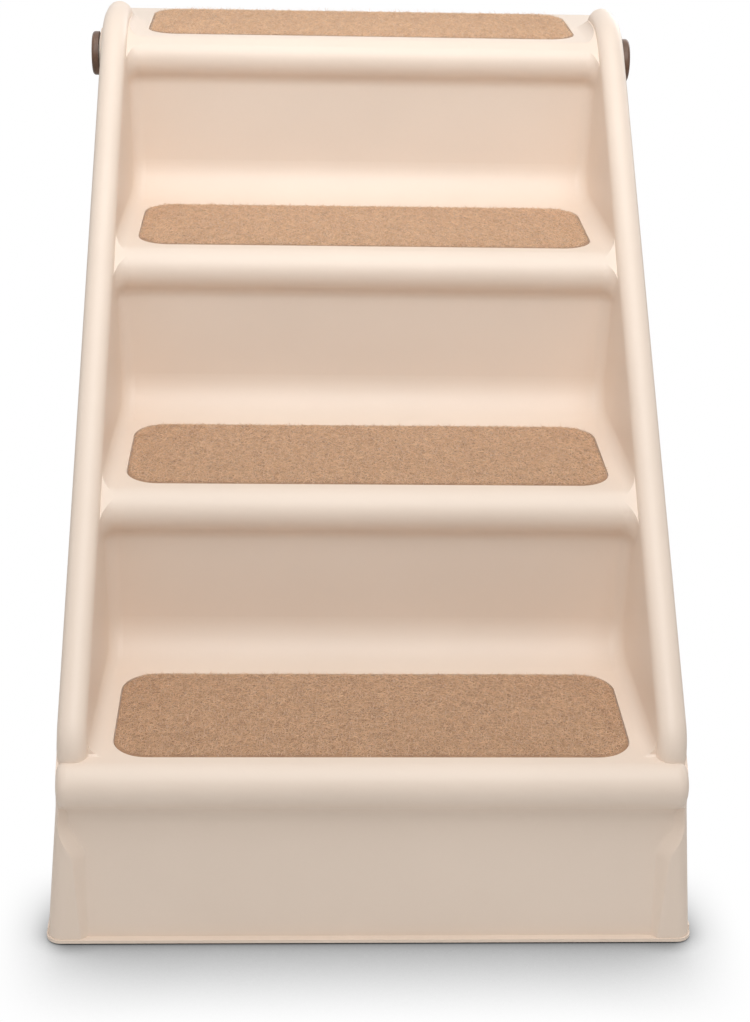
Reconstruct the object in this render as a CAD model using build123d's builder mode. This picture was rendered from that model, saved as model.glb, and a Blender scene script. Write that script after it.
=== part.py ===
from build123d import *
import math
import os

# Folding pet stairs with four treads, modelled open and standing on the floor.
# X runs across the treads, Y from the front to the back, Z up; the floor is z = 0.

# Stairs: driving dimensions
step_count = 4
run = 152.0
rise = 121.0
first_rise = 125.0
stairs_depth = 608.0
rail_outer_width = 394.0
rail_width = 19.0
rail_height = 9.5
wall_draft = 5.0
skirt_flare = 9.1
skirt_top = 106.0
stringer_depth = 138.0
shell_wall = 4.0
base_length = 109.0
base_clear = 1.0

# Stairs: nosings, risers, rails and edges
nosing_radius = 15.3
undercut_radius = 10.0
riser_recess = 11.0
panel_recess = 13.0
panel_lean = 8.5
pilaster_recess = 5.0
pilaster_foot_recess = 0.6
nosing_end_round = 7.5
riser_cove = 27.0
pocket_draft = 4.0
pocket_corner = 9.5
corner_round = 8.8
rail_start = 11.5
rail_start_radius = 22.0
horn_height = 17.0
horn_length = 62.0
horn_front_radius = 70.0
horn_back_radius = 21.0
rear_edge_round = 20.0
hook_round = 16.0
heel_round = 30.0
heel_round_share = 1.5
panel_side = 16.5
panel_low = 60.0
panel_shoulder_side = 6.5
panel_high = 84.0
panel_widen_shares = (0, 0.2, 0.5, 0.8, 1)
panel_side_slant = 45.0
panel_foot_round = 2.5
panel_edge_round = 2.0
lip_height = 2.2
base_lip = 1.0
rib_thick = 3.0
rib_half_span = 80.0
rib_level = 92.0
rib_back_gap = 9.0
flange_thick = 4.0
flange_width = 23.0
cut_over = 60.0

# Carpet pads
carpet_side = 33.5
carpet_depth = 109.0
carpet_setback = 22.0
carpet_corner = 22.0
carpet_stand = 0.8
carpet_sink = 2.0
carpet_gap = 0.4
carpet_round = 0.6

# Pivots of the rear leg
pivot_back = 106.0
pivot_drop = 20.0
pin_radius = 6.0
pin_end_wall = 4.0
running_gap = 0.06
seat_gap = 0.05
face_gap = 0.3
bush_wall = 2.5
bush_flange_radius = 13.0
bush_flange = 1.5
boss_radius = 19.0
boss_sink = 6.2
boss_stand = 3.3
head_radius = 16.5
head_thick = 5.2
head_round = 2.2
dish_radius = 11.0
dish_depth = 0.8
washer_thick = 1.2
washer_radius = 13.0
screw_radius = 2.0
screw_length = 11.0
screw_head_radius = 4.5
screw_head = 2.4
socket_radius = 1.6
socket_depth = 1.2

# Rear leg
leg_thick = 24.0
leg_offset = 85.0
leg_swing = 51.5
arm_width = 22.0
arm_top = 10.0
arm_bottom = 12.0
arm_eye_radius = 14.0
post_width = 34.0
low_bar = 44.0
mid_bar = 34.0
mid_bar_z = 226.0
top_panel = 72.0
window_round = 16.0
leg_wall = 4.0
leg_edge_chamfer = 3.0
leg_floor_gap = 4.0

# Cross tube of the leg
tube_radius = 8.0
tube_wall = 1.4
tube_z = 128.0
tube_seat = 16.0
tube_block = 30.0

# Lock bolts of the leg and their thumb tabs
bolt_radius = 4.5
bolt_length = 78.0
bolt_drop = 30.0
bolt_travel = 13.0
bolt_inset = 1.0
bolt_block = 22.0
bolt_hole_gap = 0.7
bolt_boss_radius = 10.0
bolt_tip_chamfer = 1.2
tab_length = 12.0
tab_width = 12.0
tab_height = 6.0
tab_round = 1.5
slot_gap = 0.5

# Stop pads under the top tread
pad_length = 44.0
pad_width = 16.0
pad_round = 3.0

# Feet and their screws
foot_thick = 5.0
foot_length = 84.0
foot_width = 12.0
foot_inset = 7.5
foot_round = 3.0
leg_foot_length = 30.0
leg_foot_width = 20.0
foot_screw_radius = 1.8
foot_screw_head_radius = 3.4
foot_screw_head = 1.4
foot_screw_sink = 0.8
foot_screw_length = 9.0
foot_screw_span = 50.0

# Values that follow from the driving dimensions
front_y = -stairs_depth / 2
rear_y = front_y + stairs_depth
slope = math.atan2(rise, run)
slope_cos = math.cos(slope)
slope_sin = math.sin(slope)
rail_half = rail_outer_width / 2
rail_radius = rail_width / 2
rail_level = rail_height - rail_radius
pocket_half = rail_half - rail_width
panel_half = rail_half - panel_side
panel_shoulder = rail_half - panel_shoulder_side
carpet_width = rail_outer_width - 2 * carpet_side
nose_reach = nosing_radius + undercut_radius
top_z = first_rise + (step_count - 1) * rise
horn_z = top_z + horn_height
heel_y = front_y + base_length
panel_inner_y = front_y + panel_recess + shell_wall
pivot_y = rear_y - pivot_back
pivot_z = top_z - pivot_drop
boss_inner_x = rail_half - boss_sink
boss_outer_x = rail_half + boss_stand
arm_out_x = boss_inner_x - washer_thick - face_gap
arm_in_x = arm_out_x - arm_width
arm_mid_x = (arm_out_x + arm_in_x) / 2
pin_end_x = arm_in_x + pin_end_wall + seat_gap
head_x = boss_outer_x + bush_flange + face_gap
bush_radius = pin_radius + running_gap + bush_wall
leg_mid_y = pivot_y + leg_offset
leg_front_y = leg_mid_y - leg_thick / 2
leg_back_y = leg_mid_y + leg_thick / 2
leg_top_z = pivot_z + arm_top
window_half = arm_out_x - post_width
tube_half = window_half + tube_seat
bolt_z = pivot_z - bolt_drop
bolt_start_x = arm_out_x - bolt_inset - bolt_length
slot_start_x = bolt_start_x - slot_gap
slot_length = tab_length + bolt_travel + 2 * slot_gap
foot_x = rail_half - foot_inset
foot_y = panel_inner_y + foot_length / 2
leg_foot_x = arm_out_x - post_width / 2
base_screw_spots = [(foot_x, foot_y - foot_screw_span / 2), (foot_x, foot_y + foot_screw_span / 2)]


def tread_z(step):
    """Height of a tread, counted from 0."""
    return first_rise + step * rise


def nosing_centre(step):
    """Centre of a nosing's round in the side view."""
    return front_y + step * run + nosing_radius, tread_z(step) - nosing_radius


def polar(centre, radius, angle):
    """Point of the side view at an angle in degrees round a centre."""
    turn = math.radians(angle)
    return centre[0] + radius * math.cos(turn), centre[1] + radius * math.sin(turn)


def arc(centre, radius, start, end):
    """Adds an arc of the side view and gives back its end point."""
    middle = (start + end) / 2
    ThreePointArc(polar(centre, radius, start), polar(centre, radius, middle), polar(centre, radius, end))
    return polar(centre, radius, end)


def slope_point(along, level):
    """Point of the side view, along the line over the nosings and square to it."""
    centre = nosing_centre(0)
    reach = nosing_radius + level
    y = centre[0] - slope_sin * reach + slope_cos * along
    z = centre[1] + slope_cos * reach + slope_sin * along
    return y, z


def line_z(level, y):
    """Height at y of a line parallel to the one over the nosings."""
    start = slope_point(0, level)
    return start[1] + (y - start[0]) * rise / run


def slope_plane():
    """Plane square to the slope, X across and local Y out of the stairs."""
    start = slope_point(0, 0)
    return Plane(origin=(0, start[0], start[1]), x_dir=(1, 0, 0), z_dir=(0, -slope_cos, -slope_sin))


def outer_half(level):
    """Half the outer width at a level over the nosing line."""
    return rail_half + wall_draft * (rail_level - level) / stringer_depth


def skirt_half(z):
    """Half the outer width of the flared base at a height."""
    return rail_half + skirt_flare * (skirt_top - z) / skirt_top


def pocket_half_at(level):
    """Half the width between the rails' inner walls at a level."""
    return pocket_half - pocket_draft * (rail_level - level) / stringer_depth


def draft_block(half_at, extra):
    """Draws the section square to the slope that side walls follow."""
    high = stringer_depth
    low = -stringer_depth - 2 * cut_over
    wide_high = half_at(high) + extra
    wide_low = half_at(low) + extra
    Polygon((-wide_low, low), (wide_low, low), (wide_high, high), (-wide_high, high), align=None)


def skirt_block(extra):
    """Draws the section across the stairs that the flared base follows."""
    wide_low = skirt_half(-cut_over) + extra
    wide_high = skirt_half(skirt_top) + extra
    Polygon(
        (-wide_low, -cut_over),
        (wide_low, -cut_over),
        (wide_high, skirt_top),
        (-wide_high, skirt_top),
        align=None,
    )


def undercut_profile(step, recess, skin, start):
    """Adds a nosing from an angle on and its undercut, and gives back the end."""
    centre = nosing_centre(step)
    angle = math.degrees(math.acos(1 - recess / nose_reach))
    arc(centre, nosing_radius - skin, start, 180 + angle)
    low = polar(centre, nose_reach, 180 + angle)
    return arc(low, undercut_radius + skin, angle, 0)


def air_profile(skin):
    """Draws the side view of the air over the treads, sunk by a skin."""
    far_z = top_z + 2 * cut_over
    far_y = front_y - 2 * cut_over
    at = (rear_y + cut_over, top_z - skin)
    Line((at[0], far_z), at)
    for step in reversed(range(1, step_count)):
        Line(at, polar(nosing_centre(step), nosing_radius - skin, 90))
        at = undercut_profile(step, riser_recess, skin, 90)
        corner = (at[0] - riser_cove - skin, tread_z(step - 1) + riser_cove)
        Line(at, polar(corner, riser_cove + skin, 0))
        at = arc(corner, riser_cove + skin, 0, -90)
    Line(at, polar(nosing_centre(0), nosing_radius - skin, 90))
    at = arc(nosing_centre(0), nosing_radius - skin, 90, 180)
    Polyline(at, (far_y, at[1]), (far_y, far_z), (rear_y + cut_over, far_z))


def panel_profile(skin):
    """Draws the side view of the first nosing's undercut, with room below it."""
    top = polar(nosing_centre(0), nosing_radius - skin, 180)
    at = undercut_profile(0, panel_recess, skin, 180)
    far_y = front_y - 2 * cut_over
    back = at[0] + cut_over
    Polyline(at, (back, at[1]), (back, -2 * cut_over), (far_y, -2 * cut_over), (far_y, top[1]), top)


def rail_corners():
    """Corners of a rail's middle line, from the first nosing to the horn's foot."""
    start = slope_point(rail_start, rail_level)
    low_start = slope_point(rail_start, rail_level - rail_start_radius - shell_wall)
    crest_z = horn_z - rail_radius
    crest_y = start[0] + (crest_z - start[1]) * run / rise
    back_y = crest_y + horn_length
    return [low_start, start, (crest_y, crest_z), (back_y, crest_z), (back_y, top_z - horn_height)]


def rail_path():
    """Draws the middle line of a rail."""
    FilletPolyline(*rail_corners(), radius=[rail_start_radius, horn_front_radius, horn_back_radius])


def web_profile():
    """Draws the side view of the side walls between the rails and the lines below them."""
    rail_path()
    corners = rail_corners()
    low_back = (corners[-1][0], corners[-1][1] - rail_width)
    Polyline(corners[-1], low_back, corners[0])


def side_profile():
    """Draws the side view of the side walls, up to a line inside the nosings."""
    level = -nosing_radius / 2
    foot = (pilaster_y(base_clear), base_clear)
    start_z = line_z(level, front_y + pilaster_recess)
    top_start = (pilaster_y(start_z), start_z)
    top_end = (nosing_centre(step_count - 1)[0], top_z)
    low_end = (top_end[0], line_z(level, top_end[0]))
    edge = (rear_y - rear_edge_round, top_z - rear_edge_round)
    low_rear = (rear_y, line_z(-stringer_depth, rear_y))
    heel_top = line_z(-stringer_depth, heel_y)
    heel_radius = min(heel_round, heel_round_share * (heel_top - base_clear))
    Polyline(foot, top_start, low_end, top_end, (edge[0], top_z))
    arc(edge, rear_edge_round, 90, 0)
    Line((rear_y, edge[1]), low_rear)
    FilletPolyline(low_rear, (heel_y, heel_top), (heel_y, base_clear), radius=heel_radius)
    Line((heel_y, base_clear), foot)


def cavity_profile():
    """Draws the side view of the space inside the side walls and rails."""
    nosing_z = nosing_centre(0)[1]
    rail_foot = slope_point(rail_start, -shell_wall)
    inside_z = top_z - shell_wall
    rise_y = rail_foot[0] + (inside_z - rail_foot[1]) * run / rise
    edge = (rear_y - rear_edge_round, top_z - rear_edge_round)
    at = arc(edge, rear_edge_round - shell_wall, 90, 0)
    Polyline(
        at,
        (at[0], -cut_over),
        (pilaster_y(-cut_over) + shell_wall, -cut_over),
        (pilaster_y(nosing_z) + shell_wall, nosing_z),
        rail_foot,
        (rise_y, inside_z),
        (edge[0], inside_z),
    )


def rib_profile():
    """Draws the side view of a rib, before the air over the treads is taken off."""
    front = panel_inner_y - panel_lean - base_lip
    back = leg_front_y - rib_back_gap
    Polygon(
        (front, line_z(-rib_level, front)),
        (back, line_z(-rib_level, back)),
        (back, line_z(0, back)),
        (front, line_z(0, front)),
        align=None,
    )


def hook_profile():
    """Draws the sharp corner that is cut off the side walls at the back."""
    reach = hook_round / math.tan((math.pi / 2 + slope) / 2)
    corner = (rear_y, line_z(-stringer_depth, rear_y))
    centre = (rear_y - hook_round, corner[1] + reach)
    on_slope = (corner[0] - slope_cos * reach, corner[1] - slope_sin * reach)
    far = (rear_y + hook_round, corner[1] - hook_round)
    Polygon(centre, on_slope, far, (far[0], centre[1]), align=None)
    with Locations(centre):
        Circle(hook_round, mode=Mode.SUBTRACT)


def pilaster_y(z):
    """Front plane of the pilasters at a height, which leans forward to the floor."""
    share = z / nosing_centre(0)[1]
    return front_y + pilaster_foot_recess + (pilaster_recess - pilaster_foot_recess) * share


def panel_levels(low, high):
    """Heights and half widths where the recessed panel widens below the nosing."""
    levels = []
    for share in panel_widen_shares:
        eased = share * share * (3 - 2 * share)
        z = panel_low + (panel_high - panel_low) * share
        levels.append((z, low + (high - low) * eased))
    return levels


def panel_section(half, z, skin):
    """Draws the plan of the air in front of the leaning panel at a height."""
    plane_y = front_y + panel_recess + skin - panel_lean * max(0, panel_high - z) / panel_high
    edge_y = pilaster_y(z) + skin
    slant = (plane_y - edge_y) * math.tan(math.radians(panel_side_slant))
    wide = rail_outer_width
    far_y = front_y - cut_over
    FilletPolyline(
        (-wide, edge_y),
        (-half - slant, edge_y),
        (-half, plane_y),
        (half, plane_y),
        (half + slant, edge_y),
        (wide, edge_y),
        radius=[panel_edge_round, panel_foot_round, panel_foot_round, panel_edge_round],
    )
    Polyline((wide, edge_y), (wide, far_y), (-wide, far_y), (-wide, edge_y))


def is_pocket_corner(edge):
    """Tells whether an edge of the air block runs in the corner of a side wall."""
    middle = edge.center()
    sideways = abs(edge.tangent_at(0.5).X) > slope_sin
    outside = middle.Z > line_z(rail_level, middle.Y)
    return abs(middle.X) > pocket_half / 2 and not sideways and not outside


def is_upright(edge):
    """Tells whether an edge runs up a front or rear corner of the side walls."""
    at_end = min(abs(edge.center().Y - front_y), abs(edge.center().Y - rear_y)) < corner_round
    return at_end and abs(edge.tangent_at(0.5).Z) > slope_cos


def is_leg_corner(edge):
    """Tells whether an edge is an outer corner of the leg's posts."""
    return abs(edge.center().X) > arm_out_x - leg_wall


def carpet_middle(step):
    """Middle of a carpet pad, front to back."""
    return front_y + step * run + carpet_setback + carpet_depth / 2


def folded(y, z):
    """Place of a point of the leg once the leg is folded under the stairs."""
    turn = math.radians(-leg_swing)
    reach_y = y - pivot_y
    reach_z = z - pivot_z
    return (
        pivot_y + reach_y * math.cos(turn) - reach_z * math.sin(turn),
        pivot_z + reach_y * math.sin(turn) + reach_z * math.cos(turn),
    )


def leg_windows():
    """Lowest and highest points of the openings between the bars of the leg."""
    lower = (leg_floor_gap + low_bar, mid_bar_z - mid_bar / 2)
    upper = (mid_bar_z + mid_bar / 2, leg_top_z - top_panel)
    return [lower, upper]


def leg_hollows():
    """Edges in X and Z of the hollows in the right half of the leg's front face."""
    bar_out = window_half - leg_wall
    post_in = window_half + leg_wall
    post_out = arm_out_x - leg_wall
    block_in = slot_start_x - leg_wall
    panel_low = leg_top_z - top_panel + leg_wall
    panel_high = leg_top_z - leg_wall
    return [
        (0, bar_out, leg_floor_gap + leg_wall, leg_floor_gap + low_bar - leg_wall),
        (0, bar_out, mid_bar_z - mid_bar / 2 + leg_wall, mid_bar_z + mid_bar / 2 - leg_wall),
        (0, block_in, panel_low, panel_high),
        (0, arm_in_x - leg_wall, bolt_z + bolt_block / 2, panel_high),
        (0, post_out, panel_low, bolt_z - bolt_block / 2),
        (post_in, post_out, leg_floor_gap + low_bar, tube_z - tube_block / 2),
        (post_in, post_out, tube_z + tube_block / 2, leg_top_z - top_panel),
    ]


os.makedirs("parts", exist_ok=True)

# Flared base, and the full width inside the side walls
with BuildPart() as flared_base:
    with BuildSketch(Plane.YZ):
        with BuildLine():
            side_profile()
        make_face()
    extrude(amount=rail_outer_width, both=True)
    with BuildSketch(Plane.XZ):
        skirt_block(0)
    extrude(amount=stairs_depth, both=True, mode=Mode.INTERSECT)
    fillet(flared_base.edges().filter_by(is_upright), corner_round)

with BuildPart() as inner_block:
    with BuildSketch(slope_plane()):
        draft_block(outer_half, -shell_wall)
    extrude(amount=2 * stairs_depth, both=True)
    with BuildSketch(Plane.XZ):
        skirt_block(-shell_wall)
    extrude(amount=stairs_depth, both=True)

# Air in front of the recessed panel, and the same sunk by the wall
with BuildPart() as panel_cut:
    for level_z, half_width in panel_levels(panel_half, panel_shoulder):
        with BuildSketch(Plane.XY.offset(level_z)):
            with BuildLine():
                panel_section(half_width, level_z, 0)
            make_face()
    loft()
    for level_z in (-cut_over / 2, panel_low):
        with BuildSketch(Plane.XY.offset(level_z)):
            with BuildLine():
                panel_section(panel_half, level_z, 0)
            make_face()
    loft(ruled=True)
    with BuildSketch(Plane.XY.offset(panel_high)):
        with BuildLine():
            panel_section(panel_shoulder, panel_high, 0)
        make_face()
    extrude(amount=nose_reach)
    with BuildSketch(Plane.YZ):
        with BuildLine():
            panel_profile(0)
        make_face()
    extrude(amount=rail_outer_width, both=True, mode=Mode.INTERSECT)

with BuildPart() as panel_skin:
    for level_z, half_width in panel_levels(panel_half + shell_wall, rail_half):
        with BuildSketch(Plane.XY.offset(level_z)):
            with BuildLine():
                panel_section(half_width, level_z, shell_wall)
            make_face()
    loft(ruled=True)
    for level_z in (-cut_over / 2, panel_low):
        with BuildSketch(Plane.XY.offset(level_z)):
            with BuildLine():
                panel_section(panel_half + shell_wall, level_z, shell_wall)
            make_face()
    loft(ruled=True)
    with BuildSketch(Plane.XY.offset(panel_high)):
        with BuildLine():
            panel_section(rail_half, panel_high, shell_wall)
        make_face()
    extrude(amount=nose_reach)
    with BuildSketch(Plane.YZ):
        with BuildLine():
            panel_profile(shell_wall)
        make_face()
    extrude(amount=rail_outer_width, both=True, mode=Mode.INTERSECT)

# Air over the treads and in front of the risers, and the same sunk by the wall
with BuildPart() as air_cut:
    with BuildSketch(Plane.YZ):
        with BuildLine():
            air_profile(0)
        make_face()
    extrude(amount=rail_outer_width, both=True)
    with BuildSketch(slope_plane()):
        draft_block(pocket_half_at, 0)
    extrude(amount=2 * stairs_depth, both=True, mode=Mode.INTERSECT)
    fillet(air_cut.edges().filter_by(is_pocket_corner), pocket_corner)

with BuildPart() as air_skin:
    with BuildSketch(Plane.YZ):
        with BuildLine():
            air_profile(shell_wall)
        make_face()
    extrude(amount=rail_outer_width, both=True)
    with BuildSketch(slope_plane()):
        draft_block(pocket_half_at, shell_wall)
    extrude(amount=2 * stairs_depth, both=True, mode=Mode.INTERSECT)

with BuildPart() as cavity:
    with BuildSketch(Plane.YZ):
        with BuildLine():
            cavity_profile()
        make_face()
    extrude(amount=rail_outer_width, both=True)
    add(inner_block.part, mode=Mode.INTERSECT)
    add(air_skin.part, mode=Mode.SUBTRACT)
    add(panel_skin.part, mode=Mode.SUBTRACT)

# First nosing, which reaches across the whole front
with BuildPart() as nosing_bar:
    with BuildSketch(Plane.YZ):
        with Locations(nosing_centre(0)):
            Circle(nosing_radius)
    extrude(amount=rail_half, both=True)
    fillet(nosing_bar.edges().filter_by(GeomType.CIRCLE), nosing_end_round)
    with BuildSketch(Plane.YZ):
        with Locations(nosing_centre(0)):
            Rectangle(nose_reach, nosing_radius, align=(Align.MIN, Align.MIN))
    extrude(amount=rail_half - nosing_end_round, both=True)

with BuildPart() as side_rails:
    with BuildLine(Plane.YZ.offset(rail_half - rail_radius)) as rail_line:
        rail_path()
    with BuildSketch(Plane(rail_line.line @ 0, z_dir=rail_line.line % 0)):
        Circle(rail_radius)
    sweep()
    mirror(about=Plane.YZ)

with BuildPart() as ribs:
    for side in (-1, 1):
        with BuildSketch(Plane.YZ.offset(side * rib_half_span)):
            rib_profile()
        extrude(amount=rib_thick / 2, both=True)
    add(air_cut.part, mode=Mode.SUBTRACT)
    add(panel_cut.part, mode=Mode.SUBTRACT)

# Stairs: one moulded shell with side walls, rails, treads, risers and front panel
with BuildPart() as stair_shell:
    with BuildSketch(Plane.YZ):
        with BuildLine():
            side_profile()
        make_face()
        with BuildLine():
            web_profile()
        make_face()
    extrude(amount=rail_outer_width, both=True)
    with BuildSketch(slope_plane()):
        draft_block(outer_half, 0)
    extrude(amount=2 * stairs_depth, both=True, mode=Mode.INTERSECT)
    fillet(stair_shell.edges().filter_by(is_upright), corner_round)
    add(flared_base.part)
    add(nosing_bar.part)
    add(air_cut.part, mode=Mode.SUBTRACT)
    add(panel_cut.part, mode=Mode.SUBTRACT)
    add(side_rails.part)
    add(cavity.part, mode=Mode.SUBTRACT)
    add(ribs.part)
    # Lip round the foot of the front panel, pilasters and side walls
    lip_half = skirt_half(base_clear)
    with BuildSketch(Plane.XY.offset(base_clear)):
        with Locations((0, front_y)):
            RectangleRounded(
                2 * (lip_half + base_lip),
                2 * base_length,
                corner_round + base_lip,
                align=(Align.CENTER, Align.MIN),
            )
        with Locations((0, heel_y)):
            Rectangle(3 * lip_half, 2 * base_length, align=(Align.CENTER, Align.MIN), mode=Mode.SUBTRACT)
        with Locations((0, panel_inner_y)):
            Rectangle(
                2 * (lip_half - shell_wall),
                2 * base_length,
                align=(Align.CENTER, Align.MIN),
                mode=Mode.SUBTRACT,
            )
    extrude(amount=lip_height)
    # Flanges over the rubber feet
    with BuildSketch(Plane.XY.offset(foot_thick)):
        for side in (-1, 1):
            with Locations((side * (lip_half - flange_width / 2), heel_y)):
                Rectangle(flange_width, base_length - pilaster_recess - shell_wall / 2, align=(Align.CENTER, Align.MAX))
                with Locations((-side * (lip_half - flange_width / 2 - foot_x), foot_y - heel_y)):
                    with GridLocations(foot_width, foot_screw_span, 1, 2):
                        Circle(foot_screw_radius + seat_gap, mode=Mode.SUBTRACT)
    extrude(amount=flange_thick)
    # Bosses and holes of the pivots and lock bolts
    for start_x in (boss_inner_x, -boss_outer_x):
        with BuildSketch(Plane.YZ.offset(start_x)):
            with Locations((pivot_y, pivot_z)):
                Circle(boss_radius)
            with Locations((leg_mid_y, bolt_z), folded(leg_mid_y, bolt_z)):
                Circle(bolt_boss_radius)
        extrude(amount=boss_outer_x - boss_inner_x)
    with BuildSketch(Plane.YZ):
        with Locations((pivot_y, pivot_z)):
            Circle(bush_radius + seat_gap)
        with Locations((leg_mid_y, bolt_z), folded(leg_mid_y, bolt_z)):
            Circle(bolt_radius + bolt_hole_gap)
    extrude(amount=rail_outer_width, both=True, mode=Mode.SUBTRACT)
    # Shallow recesses that the carpet pads lie in
    for step in range(step_count):
        with BuildSketch(Plane.XY.offset(tread_z(step) - carpet_sink)):
            with Locations((0, carpet_middle(step))):
                RectangleRounded(
                    carpet_width + 2 * carpet_gap, carpet_depth + 2 * carpet_gap, carpet_corner + carpet_gap
                )
        extrude(amount=2 * carpet_sink, mode=Mode.SUBTRACT)
    # Rounded lower corner of the side walls at the back
    with BuildSketch(Plane.YZ):
        hook_profile()
    extrude(amount=rail_outer_width, both=True, mode=Mode.SUBTRACT)
stair_shell.part.label = "stair_shell"
export_step(stair_shell.part, "parts/stair_shell.step")

# Carpet pads
for step in range(step_count):
    with BuildPart() as tread_carpet:
        with BuildSketch(Plane.XY.offset(tread_z(step) - carpet_sink)):
            with Locations((0, carpet_middle(step))):
                RectangleRounded(carpet_width, carpet_depth, carpet_corner)
        extrude(amount=carpet_sink + carpet_stand)
        fillet(tread_carpet.faces().sort_by(Axis.Z)[-1].edges(), carpet_round)
    tread_carpet.part.label = f"tread_carpet_{step + 1}"
    export_step(tread_carpet.part, f"parts/tread_carpet_{step + 1}.step")

# Rear leg: moulded frame with two arms that reach forward to the pivots
with BuildPart() as rear_leg:
    with BuildSketch(Plane.XZ.offset(-leg_back_y)):
        with Locations((0, (leg_top_z + leg_floor_gap) / 2)):
            Rectangle(2 * arm_out_x, leg_top_z - leg_floor_gap)
        for low_z, high_z in leg_windows():
            with Locations((0, (low_z + high_z) / 2)):
                RectangleRounded(2 * window_half, high_z - low_z, window_round, mode=Mode.SUBTRACT)
    extrude(amount=leg_thick)
    chamfer(rear_leg.edges().filter_by(Axis.Z).filter_by(is_leg_corner), leg_edge_chamfer)
    for side in (-1, 1):
        with BuildSketch(Plane.YZ.offset(side * arm_mid_x)):
            with Locations((pivot_y, pivot_z)):
                Circle(arm_eye_radius)
            with Locations((pivot_y, leg_top_z)):
                Rectangle(leg_offset, arm_top + arm_bottom, align=(Align.MIN, Align.MAX))
        extrude(amount=arm_width / 2, both=True)
    # Hollows moulded into the front face
    with BuildSketch(Plane.XZ.offset(-leg_front_y)):
        for low_x, high_x, low_z, high_z in leg_hollows():
            for side in (-1, 1):
                with Locations((side * (low_x + high_x) / 2, (low_z + high_z) / 2)):
                    Rectangle(high_x - low_x, high_z - low_z)
    extrude(amount=leg_wall - leg_thick, mode=Mode.SUBTRACT)
    # Bores of the pins and of the screws in their ends
    for side in (-1, 1):
        with BuildSketch(Plane.YZ.offset(side * (pin_end_x - seat_gap))):
            with Locations((pivot_y, pivot_z)):
                Circle(pin_radius + seat_gap)
        extrude(amount=side * arm_width, mode=Mode.SUBTRACT)
    with BuildSketch(Plane.YZ):
        with Locations((pivot_y, pivot_z)):
            Circle(screw_radius + seat_gap)
    extrude(amount=rail_half, both=True, mode=Mode.SUBTRACT)
    # Seats of the cross tube
    with BuildSketch(Plane.YZ):
        with Locations((leg_mid_y, tube_z)):
            Circle(tube_radius + seat_gap)
    extrude(amount=tube_half, both=True, mode=Mode.SUBTRACT)
    # Bores of the lock bolts, with slots for their thumb tabs
    for side in (-1, 1):
        with BuildSketch(Plane.YZ.offset(side * slot_start_x)):
            with Locations((leg_mid_y, bolt_z)):
                Circle(bolt_radius + running_gap)
        extrude(amount=side * (bolt_length + post_width), mode=Mode.SUBTRACT)
        with BuildSketch(Plane.XZ.offset(-leg_front_y)):
            with Locations((side * (slot_start_x + slot_length / 2), bolt_z)):
                Rectangle(slot_length, tab_width + 2 * slot_gap)
        extrude(amount=-leg_thick / 2, mode=Mode.SUBTRACT)
    # Screw holes of the feet
    with BuildSketch(Plane.XY.offset(leg_floor_gap)):
        with Locations((-leg_foot_x, leg_mid_y), (leg_foot_x, leg_mid_y)):
            Circle(foot_screw_radius + seat_gap)
    extrude(amount=foot_screw_length, mode=Mode.SUBTRACT)
rear_leg.part.label = "rear_leg"
export_step(rear_leg.part, "parts/rear_leg.step")

# Steel tube between the posts of the leg
with BuildPart() as cross_tube:
    with BuildSketch(Plane.YZ):
        with Locations((leg_mid_y, tube_z)):
            Circle(tube_radius)
            Circle(tube_radius - tube_wall, mode=Mode.SUBTRACT)
    extrude(amount=tube_half - seat_gap, both=True)
cross_tube.part.label = "cross_tube"
export_step(cross_tube.part, "parts/cross_tube.step")

# Pieces that come as a right and a left one, drawn on the right
with BuildPart() as pivot_knob:
    with BuildSketch(Plane.YZ.offset(head_x)):
        with Locations((pivot_y, pivot_z)):
            Circle(head_radius)
    extrude(amount=head_thick)
    fillet(pivot_knob.faces().sort_by(Axis.X)[-1].edges(), head_round)
    with BuildSketch(Plane.YZ.offset(head_x + head_thick)):
        with Locations((pivot_y, pivot_z)):
            Circle(dish_radius)
    extrude(amount=-dish_depth, mode=Mode.SUBTRACT)
    with BuildSketch(Plane.YZ.offset(pin_end_x)):
        with Locations((pivot_y, pivot_z)):
            Circle(pin_radius)
    extrude(amount=head_x - pin_end_x)
    with BuildSketch(Plane.YZ.offset(pin_end_x)):
        with Locations((pivot_y, pivot_z)):
            Circle(screw_radius + seat_gap)
    extrude(amount=screw_length, mode=Mode.SUBTRACT)

with BuildPart() as pivot_bush:
    with BuildSketch(Plane.YZ.offset(boss_inner_x)):
        with Locations((pivot_y, pivot_z)):
            Circle(bush_radius)
    extrude(amount=boss_outer_x - boss_inner_x)
    with BuildSketch(Plane.YZ.offset(boss_outer_x)):
        with Locations((pivot_y, pivot_z)):
            Circle(bush_flange_radius)
    extrude(amount=bush_flange)
    with BuildSketch(Plane.YZ.offset(boss_inner_x)):
        with Locations((pivot_y, pivot_z)):
            Circle(pin_radius + running_gap)
    extrude(amount=boss_outer_x, mode=Mode.SUBTRACT)

with BuildPart() as pivot_washer:
    with BuildSketch(Plane.YZ.offset(boss_inner_x)):
        with Locations((pivot_y, pivot_z)):
            Circle(washer_radius)
            Circle(pin_radius + running_gap, mode=Mode.SUBTRACT)
    extrude(amount=-washer_thick)

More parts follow.
